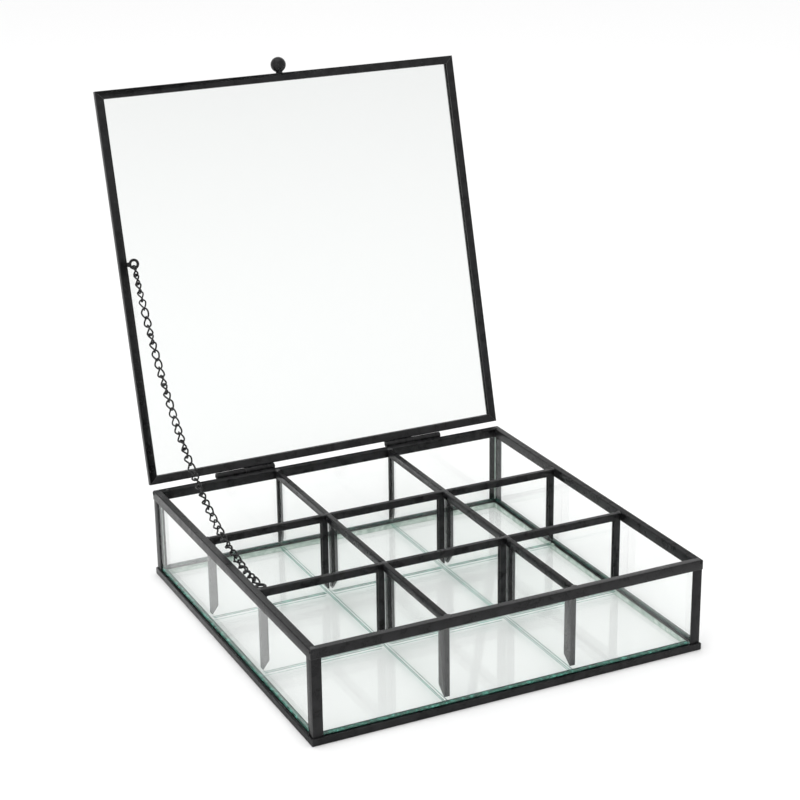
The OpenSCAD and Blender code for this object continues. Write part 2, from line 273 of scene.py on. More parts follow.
@dataclass(frozen=True)
class BlackPatina:
    """Satin black paint over folded or turned metal, a little uneven and dusty."""

    name: str
    paint: Colour = (0.0075, 0.0075, 0.008)
    thin_paint: Colour = (0.022, 0.022, 0.023)
    patch_mm: float = 7.0
    patch_range: Span = (0.42, 0.72)
    patch_thinning: float = 0.6
    grain_mm: float = 0.45
    fleck_grains: float = 2.2
    fleck_range: Span = (0.66, 0.78)
    fleck_thinning: float = 0.35
    roughness: float = 0.31
    uneven: float = 0.22
    relief_mm: float = 0.025
    relief_strength: float = 0.55
    grain_relief: float = 0.6
    patch_relief: float = 0.8
    mirror: float = 0.18

    def make(self) -> bpy.types.Material:
        """Builds the material.

        Returns:
            The material.
        """
        nodes = Nodes(self.name)
        place = nodes.place()
        patches = nodes.cloud(place, self.patch_mm, detail=4.0)
        grain = nodes.cloud(place, self.grain_mm, detail=2.0, offset=3.0)
        flecks = nodes.cloud(place, self.grain_mm * self.fleck_grains, detail=1.0, offset=7.0)
        thin = (patches.limited(*self.patch_range) * self.patch_thinning
                + flecks.limited(*self.fleck_range) * self.fleck_thinning)
        roughness = self.roughness + (patches - MEAN) * self.uneven * 2.0 + (grain - MEAN) * self.uneven
        height = grain * self.grain_relief + patches * self.patch_relief
        return nodes.done(nodes.add("BsdfPrincipled", None, {
            "Base Color": nodes.blend(thin, self.paint, self.thin_paint), "Roughness": roughness,
            "Normal": nodes.bump(height, self.relief_mm, self.relief_strength),
            "Specular IOR Level": self.mirror}))


@dataclass(frozen=True)
class WornAndHighlitEdge:
    """The paint along a folded edge, worn thin in patches and painted lighter there as a highlight."""

    name: str
    painted: Colour = (0.014, 0.014, 0.0145)
    # Lighter colour of the edge: worn paint and a painted highlight.
    wear_and_highlight_colour: Colour = (0.060, 0.060, 0.060)
    wear_and_highlight_mm: float = 11.0
    wear_and_highlight_range: Span = (0.40, 0.66)
    wear_and_highlight_metal: float = 0.35
    grain_mm: float = 0.5
    roughness: float = 0.30
    uneven: float = 0.2

    def make(self) -> bpy.types.Material:
        """Builds the material.

        Returns:
            The material.
        """
        nodes = Nodes(self.name)
        place = nodes.place()
        # Patches of the edge that are painted lighter, as wear and as a painted highlight.
        wear_and_highlight = nodes.cloud(place, self.wear_and_highlight_mm, detail=5.0, rough=0.62).limited(*self.wear_and_highlight_range)
        grain = nodes.cloud(place, self.grain_mm, detail=2.0, offset=5.0)
        return nodes.done(nodes.add("BsdfPrincipled", None, {
            "Base Color": nodes.blend(wear_and_highlight, self.painted, self.wear_and_highlight_colour),
            "Roughness": self.roughness + (grain - MEAN) * self.uneven,
            "Metallic": wear_and_highlight * self.wear_and_highlight_metal}))


@dataclass(frozen=True)
class Solder:
    """Soft solder under thin black patina, grey where it is bare."""

    name: str
    dulled: Colour = (0.035, 0.035, 0.036)
    bare: Colour = (0.30, 0.30, 0.29)
    bare_mm: float = 1.6
    bare_from: float = 0.56
    bare_over: float = 0.12
    bare_metal: float = 0.8
    bare_polish: float = 0.12
    roughness: float = 0.42
    ripple_mm: float = 0.7
    relief_mm: float = 0.06
    relief_strength: float = 0.6

    def make(self) -> bpy.types.Material:
        """Builds the material.

        Returns:
            The material.
        """
        nodes = Nodes(self.name)
        place = nodes.place()
        bare = nodes.cloud(place, self.bare_mm).limited(self.bare_from, self.bare_from + self.bare_over)
        ripples = nodes.cloud(place, self.ripple_mm, offset=2.0)
        return nodes.done(nodes.add("BsdfPrincipled", None, {
            "Base Color": nodes.blend(bare, self.dulled, self.bare),
            "Metallic": bare * self.bare_metal,
            "Roughness": self.roughness - bare * self.bare_polish,
            "Normal": nodes.bump(ripples, self.relief_mm, self.relief_strength)}))


@dataclass(frozen=True)
class PaneGlass:
    """The clear face of a pane: it mirrors little seen head on and more at a slant."""

    name: str
    tint: Colour = (0.988, 0.9925, 0.990)
    sheen: Colour = (0.965, 0.975, 0.970)
    head_on: float = 0.04
    slant_power: float = 5.0
    polish: float = 0.015
    smear: float = 0.05
    smear_mm: float = 38.0

    def make(self) -> bpy.types.Material:
        """Builds the material.

        Returns:
            The material.
        """
        nodes = Nodes(self.name)
        facing = nodes.add("LayerWeight", None, {"Blend": 0.5}, output="Facing")
        mirrored = self.head_on + (1.0 - self.head_on) * facing ** self.slant_power
        smears = nodes.cloud(nodes.place(), self.smear_mm, detail=4.0, rough=0.6)
        shine = nodes.add("BsdfPrincipled", None, {
            "Base Color": self.sheen, "Metallic": 1.0, "Roughness": self.polish + smears * self.smear})
        clear = nodes.add("BsdfTransparent", None, {"Color": self.tint})
        return nodes.done(nodes.add("MixShader", None, {0: mirrored, 1: clear, 2: shine}))


@dataclass(frozen=True)
class CutGlass:
    """The cut edge of a pane, where its green shows in streaks."""

    name: str
    deep: Colour = (0.006, 0.045, 0.034)
    middle: Colour = (0.040, 0.190, 0.150)
    bright: Colour = (0.260, 0.560, 0.470)
    stops: tuple[float, float, float] = (0.38, 0.52, 0.64)
    through: Colour = (0.70, 0.88, 0.82)
    cover: float = 0.80
    uneven: float = 0.30
    streak_mm: float = 7.0
    chip_mm: float = 0.8
    chip_share: float = 0.25
    chip_roughness: float = 0.3
    roughness: float = 0.18
    relief_mm: float = 0.05
    relief_strength: float = 0.4

    def make(self) -> bpy.types.Material:
        """Builds the material.

        Returns:
            The material.
        """
        nodes = Nodes(self.name)
        place = nodes.place()
        streaks = nodes.cloud(place, self.streak_mm, detail=5.0, rough=0.65)
        chips = nodes.cloud(place, self.chip_mm, offset=4.0)
        depth = streaks * (1.0 - self.chip_share) + chips * self.chip_share
        stops = list(zip(self.stops, (self.deep, self.middle, self.bright)))
        body = nodes.add("BsdfPrincipled", None, {
            "Base Color": nodes.add("ValToRGB", {"stops": stops}, {0: depth}),
            "Roughness": self.roughness + chips * self.chip_roughness,
            "Normal": nodes.bump(chips, self.relief_mm, self.relief_strength)})
        clear = nodes.add("BsdfTransparent", None, {"Color": self.through})
        cover = self.cover + (streaks - MEAN) * self.uneven
        return nodes.done(nodes.add("MixShader", None, {0: cover, 1: clear, 2: body}))


@dataclass(frozen=True)
class StudioPaper:
    """The pale floor under the box."""

    name: str
    shade: float = 0.93
    fibre_shade: float = 0.006
    fibre_mm: float = 2.0
    roughness: float = 0.85
    mirror: float = 0.2

    def make(self) -> bpy.types.Material:
        """Builds the material.

        Returns:
            The material.
        """
        nodes = Nodes(self.name)
        fibre = nodes.cloud(nodes.place(), self.fibre_mm, detail=2.0)
        low, high = ((shade,) * 3 for shade in (self.shade - self.fibre_shade, self.shade))
        return nodes.done(nodes.add("BsdfPrincipled", None, {
            "Base Color": nodes.blend(fibre, low, high),
            "Roughness": self.roughness, "Specular IOR Level": self.mirror}))


# ---- Mesh work ---------------------------------------------------------------

WELD_MM = 0.002  # corners nearer than this become one
FLAT_DEG = 0.5  # faces that turn less than this become one
SHARP_RAD = 0.5  # edges that turn more than this are eased


def node_box(node: str) -> tuple[Point, Point]:
    """Finds the box round a CAD node at rest, in millimetres.

    Args:
        node: The node's name.

    Returns:
        Its lowest and its highest corner.
    """
    places = [vert.co / MM for vert in frame["nodes"][node].data.vertices]
    return tuple(tuple(pick(place[i] for place in places) for i in range(3)) for pick in (min, max))


class Workshop:
    """Turns CAD nodes into pieces with eased edges, and keeps the finishes."""

    def __init__(self) -> None:
        """Makes every finish once."""
        self.paint = BlackPatina("black_patina").make()
        # Eased edges: worn paint with a painted highlight.
        self.edge = WornAndHighlitEdge("worn_and_highlit_edge").make()
        self.fitting = BlackPatina("fitting_patina", roughness=0.30, patch_mm=3.0, grain_mm=0.3).make()
        self.chain = BlackPatina(
            "chain_patina", paint=(0.006, 0.006, 0.0065), thin_paint=(0.034, 0.034, 0.035),
            roughness=0.25, mirror=0.28, patch_mm=2.4, grain_mm=0.25, relief_mm=0.015).make()
        self.solder = Solder("soft_solder").make()
        self.dull_solder = Solder("dull_solder", bare_from=0.66).make()
        self.pane = PaneGlass("pane_glass").make()
        self.lid_pane = PaneGlass("lid_pane_glass", tint=(0.928, 0.935, 0.931)).make()
        self.cut = CutGlass("cut_glass").make()
        # Lit copy of the cut glass: painted light on the walls' feet in front and on the left.
        self.streaks = CutGlass(
            "lit_cut_glass", deep=(0.002, 0.034, 0.023), middle=(0.010, 0.115, 0.080),
            bright=(0.120, 0.500, 0.390), streak_mm=3.0, cover=0.96, uneven=0.06, roughness=0.35).make()
        # Shaded copy of the cut glass: painted shade on the walls' feet at the back and on the right, also
        # used for the dark lines inside them.
        self.shade = CutGlass(
            "dark_cut_glass", deep=(0.003, 0.014, 0.012), middle=(0.008, 0.042, 0.033),
            bright=(0.030, 0.130, 0.100), cover=0.90, uneven=0.1).make()
        self.seam = CutGlass(
            "seam_glass", deep=(0.003, 0.070, 0.052), middle=(0.010, 0.185, 0.140),
            bright=(0.080, 0.460, 0.360), streak_mm=5.0, cover=0.96).make()
        # Painted reflection of a divider's base in the floor's glass.
        self.painted_seam_reflection = CutGlass(
            "painted_seam_reflection_glass", deep=(0.200, 0.420, 0.370), middle=(0.400, 0.640, 0.590),
            bright=(0.600, 0.800, 0.760), cover=0.50).make()
        self.pale = CutGlass(
            "pale_cut_glass", deep=(0.300, 0.410, 0.350), middle=(0.520, 0.620, 0.560),
            bright=(0.780, 0.850, 0.800), streak_mm=4.0, cover=0.90, uneven=0.1, roughness=0.45).make()

    @staticmethod
    def piece(name: str, mesh: bmesh.types.BMesh, body: str, slot: Slot,
              finishes: list[bpy.types.Material], smooth_deg: float = 30.0) -> bpy.types.Object:
        """Makes a piece that rides on a body.

        Args:
            name: The piece's name.
            mesh: Its mesh, which is used up.
            body: The CAD body that it rides on.
            slot: The record's slot; it is not used.
            finishes: Its materials, in the order of its faces' numbers.
            smooth_deg: Edges flatter than this are shaded smooth.

        Returns:
            The piece.
        """
        data = bpy.data.meshes.new(name)
        for face in mesh.faces:
            face.smooth = True
        mesh.to_mesh(data)
        mesh.free()
        data.set_sharp_from_angle(angle=math.radians(smooth_deg))
        for finish in finishes:
            data.materials.append(finish)
        made = bpy.data.objects.new(name, data)
        bpy.context.scene.collection.objects.link(made)
        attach(made, body)
        return made

    @staticmethod
    def welded(node: str) -> bmesh.types.BMesh:
        """Copies a node's mesh with its seams closed and its flat faces whole.

        Args:
            node: The CAD node.

        Returns:
            The copy.
        """
        mesh = bmesh.new()
        mesh.from_mesh(frame["nodes"][node].data)
        bmesh.ops.remove_doubles(mesh, verts=mesh.verts, dist=WELD_MM * MM)
        bmesh.ops.dissolve_limit(mesh, angle_limit=math.radians(FLAT_DEG), verts=mesh.verts,
                                 edges=mesh.edges)
        return mesh

    def eased(self, node: str, prefix: str, width_mm: float, slot: Slot,
              finishes: list[bpy.types.Material], steps: int = 2,
              change: Callable[[bmesh.types.BMesh], None] | None = None) -> bpy.types.Object:
        """Stands a copy with eased edges in a node's place.

        Args:
            node: The CAD node.
            prefix: What the piece's name has before the node's.
            width_mm: How wide the eased edges are.
            slot: The record's slot.
            finishes: The faces' material and the eased edges' material.
            steps: Faces across an eased edge.
            change: What is done to the copy first.

        Returns:
            The piece.
        """
        mesh = self.welded(node)
        if change:
            change(mesh)
        sharp = [edge for edge in mesh.edges
                 if edge.is_manifold and edge.is_convex and edge.calc_face_angle() > SHARP_RAD]
        bmesh.ops.bevel(mesh, geom=sharp, offset=width_mm * MM, segments=steps, profile=0.5,
                        affect="EDGES", clamp_overlap=True, material=1)
        body = frame["nodes"][node]["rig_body"]
        made = self.piece(f"{prefix}_{node}", mesh, body, slot, finishes, smooth_deg=40.0)
        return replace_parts(made, node)


def add_bead(mesh: bmesh.types.BMesh, start: Point, end: Point, half_across: float, half_up: float,
             sides: int = 10, end_steps: int = 4) -> None:
    """Adds a level or upright bead with an oval section and rounded ends. Millimetres.

    Args:
        mesh: The mesh that it joins.
        start: The middle of one end.
        end: The middle of the other.
        half_across: Half its width.
        half_up: Half its height.
        sides: Faces round it.
        end_steps: Rings in each rounded end.
    """
    first, last = Vector(start), Vector(end)
    ahead = (last - first).normalized()
    upright = first.xy == last.xy
    across = Vector((1.0, 0.0, 0.0)) if upright else ahead.cross(Vector((0.0, 0.0, 1.0)))
    up = across.cross(ahead)
    reach = min(half_across, half_up)
    shares = [math.sin(math.pi / 2 * step / end_steps) for step in range(1, end_steps + 1)]
    line = [(first + ahead * reach * (1 - share), share) for share in shares]
    line += [(last - ahead * reach * (1 - share), share) for share in reversed(shares)]
    turns = [2 * math.pi * j / sides for j in range(sides)]
    rings = []
    for point, share in line:
        skin = [half_across * math.cos(turn) * across + half_up * math.sin(turn) * up for turn in turns]
        rings.append([mesh.verts.new((point + share * out) * MM) for out in skin])
    for one, two in zip(rings, rings[1:]):
        for j in range(sides):
            k = (j + 1) % sides
            mesh.faces.new((one[j], one[k], two[k], two[j]))
    mesh.faces.new(rings[0])
    mesh.faces.new(rings[-1])


def add_blob(mesh: bmesh.types.BMesh, middle: Point, half: Point, lump: float = 0.22,
             lumps: float = 1.6) -> None:
    """Adds a blob of solder with an uneven skin. Millimetres.

    Args:
        mesh: The mesh that it joins.
        middle: Its middle.
        half: Half its size each way.
        lump: How uneven it is, as a share of its size.
        lumps: How closely the lumps follow each other.
    """
    made = bmesh.ops.create_icosphere(mesh, subdivisions=3, radius=1.0)
    for vert in made["verts"]:
        swell = 1.0 + lump * noise.noise(vert.co * lumps + Vector(middle))
        vert.co = Vector([(m + h * c * swell) * MM for m, h, c in zip(middle, half, vert.co)])


def log_piece(made: bpy.types.Object) -> None:
    """Reports a finished piece."""
    LOG.info("%s: %d faces", made.name, len(made.data.polygons))


# ---- Sub-assemblies ----------------------------------------------------------


@dataclass
class MetalFrame:
    """The channels and angles of the box, its dividers and its lid. Millimetres.

    A trim is how much deeper than in CAD a divider's two uprights are, the left or front one first.
    """

    shop: Workshop
    rail_edge: float = 0.16
    post_edge: float = 0.14
    divider_edge: float = 0.15
    upright: float = 5.5
    short_trim: Span = (-1.2, -1.6)
    long_trim: Span = (1.6, -3.4)
    near: float = 0.02

    def _trimmed(self, node: str) -> Callable[[bmesh.types.BMesh], None]:
        """Makes the change that sets the depth of a divider's two uprights.

        Args:
            node: The CAD node of the divider's frame.

        Returns:
            The change, which moves the uprights' inner faces.
        """
        axis, trims = (1, self.long_trim) if node.startswith("long") else (0, self.short_trim)

        def change(mesh: bmesh.types.BMesh) -> None:
            """Moves the inner faces of the uprights.

            Args:
                mesh: The copy of the divider's frame.
            """
            ends = [pick(vert.co[axis] for vert in mesh.verts) for pick in (min, max)]
            for end, inward, trim in zip(ends, (1, -1), trims):
                face = end + inward * self.upright * MM
                for vert in mesh.verts:
                    if abs(vert.co[axis] - face) < self.near * MM:
                        vert.co[axis] += inward * trim * MM
        return change

    def _eased(self, node: str, width: float,
               change: Callable[[bmesh.types.BMesh], None] | None = None) -> bpy.types.Object:
        """Eases the folds of one channel or angle.

        Args:
            node: Its CAD node.
            width: How wide the eased edges are.
            change: What is done to the copy first.

        Returns:
            The piece.
        """
        finishes = [self.shop.paint, self.shop.edge]
        return self.shop.eased(node, "folded", width, Slot.FRAME, finishes, change=change)

    def build(self) -> list[bpy.types.Object]:
        """Eases the edges of every channel and angle.

        Returns:
            The pieces.
        """
        made = []
        for node in sorted(frame["nodes"]):
            if node.startswith(("tray_rail", "top_rail", "lid_rail")):
                made.append(self._eased(node, self.rail_edge))
            elif node.startswith("post_"):
                made.append(self._eased(node, self.post_edge))
            elif node.endswith("_frame"):
                made.append(self._eased(node, self.divider_edge, self._trimmed(node)))
        return made


@dataclass
class Glazing:
    """The panes, with arrised edges and green cut sides. Millimetres."""

    shop: Workshop
    arris: float = 0.22
    small_share: float = 0.5
    level_from: float = 0.6

    def _pane(self, node: str) -> bpy.types.Object:
        """Makes one pane, whose two large faces are clear.

        Only the level cut sides are green, because the upright ones stand in the channels, and the
        dividers' green is made by GreenEdges.

        Args:
            node: The CAD node of the pane.

        Returns:
            The piece.
        """
        clear = self.shop.lid_pane if node == "lid_glass" else self.shop.pane
        made = self.shop.eased(node, "cut", self.arris, Slot.GLASS, [clear, self.shop.cut], steps=1)
        largest = max(face.area for face in made.data.polygons)
        for face in made.data.polygons:
            side = face.area < largest * self.small_share and abs(face.normal.z) > self.level_from
            face.material_index = int(side and "divider" not in node)
        return made

    def build(self) -> list[bpy.types.Object]:
        """Returns every pane, newly made."""
        return [self._pane(node) for node in sorted(frame["nodes"]) if "glass" in node]


@dataclass
class Fittings:
    """The hinges' knuckles and pins, the knob and the eyelets. Millimetres."""

    shop: Workshop
    edge: float = 0.12
    knuckle_growth: float = 1.15

    def __post_init__(self) -> None:
        """Reads the hinges' axis from one of their pins."""
        low, high = node_box("hinge_left_pin")
        self.axis = [(low[i] + high[i]) / 2 for i in (1, 2)]

    def _fuller(self, mesh: bmesh.types.BMesh) -> None:
        """Thickens a knuckle about the hinges' axis, with the paint that nearly closes the gap.

        Args:
            mesh: The copy of the knuckle.
        """
        y, z = (middle * MM for middle in self.axis)
        for vert in mesh.verts:
            vert.co.y = y + (vert.co.y - y) * self.knuckle_growth
            vert.co.z = z + (vert.co.z - z) * self.knuckle_growth

    def build(self) -> list[bpy.types.Object]:
        """Eases the fittings' edges.

        Returns:
            The pieces.
        """
        finishes = [self.shop.fitting, self.shop.edge]
        return [self.shop.eased(node, "turned", self.edge, Slot.FITTING, finishes,
                                change=self._fuller if node.endswith("knuckle") else None)
                for node in sorted(frame["nodes"])
                if node.startswith("hinge") or node.endswith("eyelet") or node == "lid_knob"]


@dataclass
class GreenEdges:
    """The green along the panes' bases and round the floor's cut edge, as beads. Millimetres.

    The halves are those of a bead's width and height. A rise is above the piece under the bead.
    """

    shop: Workshop
    corner: float = 4.8
    lit_half: Span = (1.20, 0.60)
    lit_rise: float = 0.62
    dark_half: Span = (0.14, 0.36)
    dark_inset: float = 0.18
    dark_rise: float = 0.85
    dark_longer: float = 1.2
    rim_half: float = 0.10
    rim_inset: float = 0.16
    rim_margin: float = 0.04
    rim_short: float = 0.2
    upright_half: Span = (0.26, 0.26)
    upright_inset: float = 0.25
    upright_rise: float = 1.2
    seam_half: Span = (0.18, 0.20)
    seam_rise: float = 0.22
    seam_out: float = 0.08
    seam_short: float = 0.8
    # The painted reflections of the dividers' bases in the floor's glass.
    faint_half: Span = (0.26, 0.12)
    faint_height: float = 1.9

    def __post_init__(self) -> None:
        """Reads from the frame the faces that the beads follow."""
        glass_low, glass_high = node_box("wall_glass_front")
        self.glass_inside = BOX_MIDDLE - glass_high[1]
        self.glass_middle = BOX_MIDDLE - (glass_low[1] + glass_high[1]) / 2
        self.tray_inside = BOX_MIDDLE - node_box("tray_rail_front")[1][1]
        self.tray_top = node_box("tray_rail_front")[1][2]
        self.floor_top = node_box("floor_glass")[1][2]
        self.rail_low = node_box("top_rail_front")[0][2]

    def _bead(self, name: str, lines: list[Line], half: Span, finish: bpy.types.Material) -> bpy.types.Object:
        """Makes a piece of one or more beads on the base.

        Args:
            name: The piece's name.
            lines: The ends of each bead.
            half: Half a bead's width and half its height.
            finish: Its material.

        Returns:
            The piece.
        """
        mesh = bmesh.new()
        for start, end in lines:
            add_bead(mesh, start, end, *half)
        bmesh.ops.recalc_face_normals(mesh, faces=mesh.faces)
        return self.shop.piece(name, mesh, "base", Slot.GLASS, [finish], smooth_deg=60.0)

    def _side(self, number: int, out: float, z: float, short: float) -> Line:
        """Finds a level line along one side of the box.

        Args:
            number: The side, in the order of SIDES.
            out: How far it is from the box's middle.
            z: Its height.
            short: How far it stops before each corner.

        Returns:
            Its two ends.
        """
        turn = Matrix.Rotation(math.radians(90.0 * number), 3, "Z")
        ends = [turn @ Vector((sign * (out - short), -out, z)) for sign in (-1, 1)]
        return tuple((x, y + BOX_MIDDLE, z) for x, y, z in ends)

    def _walls(self) -> list[bpy.types.Object]:
        """Makes three beads along each wall: the pane's foot, a dark line inside it and the floor's rim.

        The foot is painted lit in front and on the left, and painted in shade at the back and on the right.

        Returns:
            The pieces.
        """
        made = []
        for number, side in enumerate(SIDES):
            # Painted light and shade: the lit copy in front and on the left, the shaded one behind and on the
            # right.
            lit = self.shop.streaks if side in ("front", "left") else self.shop.shade
            low = self._side(number, self.glass_middle, self.tray_top + self.lit_rise, self.corner)
            high = self._side(number, self.glass_inside - self.dark_inset, self.tray_top + self.dark_rise,
                              self.corner - self.dark_longer)
            rim = self._side(number, self.tray_inside - self.rim_inset, self.floor_top / 2, self.rim_short)
            rim_half = (self.rim_half, self.floor_top / 2 - self.rim_margin)
            made += [self._bead(f"lit_edge_{side}", [low], self.lit_half, lit),
                     self._bead(f"dark_edge_{side}", [high], self.dark_half, self.shop.shade),
                     self._bead(f"floor_rim_{side}", [rim], rim_half, self.shop.pale)]
        return made

    def _corners(self) -> list[bpy.types.Object]:
        """Makes the bright upright lines where two panes meet: their cut edges, painted pale as light seen
        through the slit.

        Returns:
            The piece that holds them.
        """
        at = self.glass_inside - self.upright_inset
        low, high = self.tray_top + self.upright_rise, self.rail_low
        lines = [((x, y + BOX_MIDDLE, low), (x, y + BOX_MIDDLE, high)) for x in (-at, at) for y in (-at, at)]
        # Painted light: pale lines for the light through the slits at the corners.
        return [self._bead("pane_corners", lines, self.upright_half, self.shop.pale)]

    def _foot_line(self, node: str, share: float, out: float, z: float) -> Line:
        """Finds a level line along a divider's pane.

        Args:
            node: The CAD node of the pane.
            share: 0 is the pane's one face, 1 the other and 0.5 its middle.
            out: How far the line lies beyond that, away from the first face.
            z: Its height.

        Returns:
            Its two ends.
        """
        low, high = node_box(node)
        across = 1 if high[0] - low[0] > high[1] - low[1] else 0
        at = low[across] + (high[across] - low[across]) * share + out
        first, last = low[1 - across] + self.seam_short, high[1 - across] - self.seam_short
        return ((first, at, z), (last, at, z)) if across else ((at, first, z), (at, last, z))

    def _dividers(self) -> list[bpy.types.Object]:
        """Makes the lines along the dividers' bases, and fainter painted reflections of the bases in the
        floor's glass.

        Returns:
            Two pieces for each divider.
        """
        made = []
        for node in sorted(frame["nodes"]):
            if "divider" in node and node.endswith("_glass"):
                name = node.removesuffix("_glass")
                top = self.floor_top + self.seam_rise
                seams = [self._foot_line(node, share, out, top)
                         for share, out in ((0.0, -self.seam_out), (1.0, self.seam_out))]
                # Painted reflection of the divider's base, inside the floor's glass.
                faint = self._foot_line(node, 0.5, 0.0, self.faint_height)
                made += [self._bead(f"seam_{name}", seams, self.seam_half, self.shop.seam),
                         self._bead(f"painted_seam_reflection_{name}", [faint], self.faint_half, self.shop.painted_seam_reflection)]
        return made

    def build(self) -> list[bpy.types.Object]:
        """Returns all the pieces, newly made."""
        return self._walls() + self._corners() + self._dividers()


@dataclass
class SolderWork:
    """Blobs of solder where the channels meet. Millimetres, from the middle of the box.

    The halves are those of a blob's size each way. A drop is below the top that the blob lies on.
    """

    shop: Workshop
    divider_line: float = 39.08
    corner_half: Point = (1.9, 1.9, 0.42)
    corner_drop: float = 0.28
    lump_half: Point = (1.45, 1.45, 1.65)
    lump_out: float = 1.2
    lump_drop: float = 1.62
    crossing_half: Point = (1.75, 1.75, 0.38)
    crossing_drop: float = 0.15
    long_end_half: Point = (1.85, 1.9, 0.50)
    long_end_out: float = 0.5
    long_end_drop: float = 0.35
    short_end_half: Point = (1.3, 1.6, 0.72)
    short_end_out: float = -0.3
    short_end_drop: float = 0.1
    eyelet_foot: Spot = ((-115.3, -33.8, 53.9), (0.8, 1.7, 0.9))
    lid_eyelet_foot: Spot = ((-114.85, 156.6, 190.0), (0.75, 1.2, 1.2))
    glue: tuple[Spot, ...] = (
        ((114.9, 36.6, 4.3), (0.8, 1.5, 0.6)),
        ((114.6, 40.9, 4.2), (0.9, 1.1, 0.5)))
    specks: tuple[Spot, ...] = (
        ((-112.0, 117.3, 55.9), (1.0, 0.7, 0.26)),
        ((-37.98, -115.6, 55.88), (0.60, 0.40, 0.26)),
        ((40.18, -115.6, 55.88), (0.55, 0.45, 0.24)))

    def __post_init__(self) -> None:
        """Reads the rails and the dividers' caps from the frame."""
        low, high = node_box("top_rail_front")
        self.rail_inside = BOX_MIDDLE - high[1]
        self.rail_line = BOX_MIDDLE - (low[1] + high[1]) / 2
        self.rail_top = high[2]
        self.cap_top = node_box("long_divider_left_frame")[1][2]

    @staticmethod
    def _four(x: float, y: float, z: float, half: Point) -> list[Spot]:
        """Returns the same blob in each quarter of the box."""
        return [((side * x, end * y, z), half) for side in (-1, 1) for end in (-1, 1)]

    def _blobs(self, name: str, spots: Iterable[Spot], finish: bpy.types.Material,
               body: str = "base") -> bpy.types.Object:
        """Makes a piece of several blobs.

        Args:
            name: The piece's name.
            spots: The middle and the half sizes of each blob.
            finish: Its material.
            body: The body that it rides on.

        Returns:
            The piece.
        """
        mesh = bmesh.new()
        for (x, y, z), half in spots:
            add_blob(mesh, (x, y + BOX_MIDDLE, z), half)
        return self.shop.piece(name, mesh, body, Slot.FITTING, [finish], smooth_deg=70.0)

    def build(self) -> list[bpy.types.Object]:
        """Makes the solder of the corners, crossings, cap ends and eyelets, and the two beads of glue.

        Returns:
            The pieces.
        """
        rail, divider, lump = self.rail_line, self.divider_line, self.rail_line + self.lump_out
        corners = self._four(rail, rail, self.rail_top - self.corner_drop, self.corner_half)
        lumps = self._four(lump, lump, self.rail_top - self.lump_drop, self.lump_half)
        crossings = self._four(divider, divider, self.cap_top - self.crossing_drop, self.crossing_half)
        ends = self._four(divider, self.rail_inside + self.long_end_out,
                          self.rail_top - self.long_end_drop, self.long_end_half)
        ends += self._four(self.rail_inside + self.short_end_out, divider,
                           self.cap_top - self.short_end_drop, self.short_end_half)
        dull = self.shop.dull_solder
        return [self._blobs("solder_corners", corners, dull),
                self._blobs("rounded_corners", lumps, self.shop.paint),
                self._blobs("solder_eyelet", [self.eyelet_foot], dull),
                self._blobs("solder_lid_eyelet", [self.lid_eyelet_foot], dull, body="lid"),
                self._blobs("solder_crossings", crossings, dull),
                self._blobs("solder_cap_ends", ends, dull),
                self._blobs("glue_beads", self.glue, self.shop.pale),
                self._blobs("solder_specks", self.specks, self.shop.solder)]


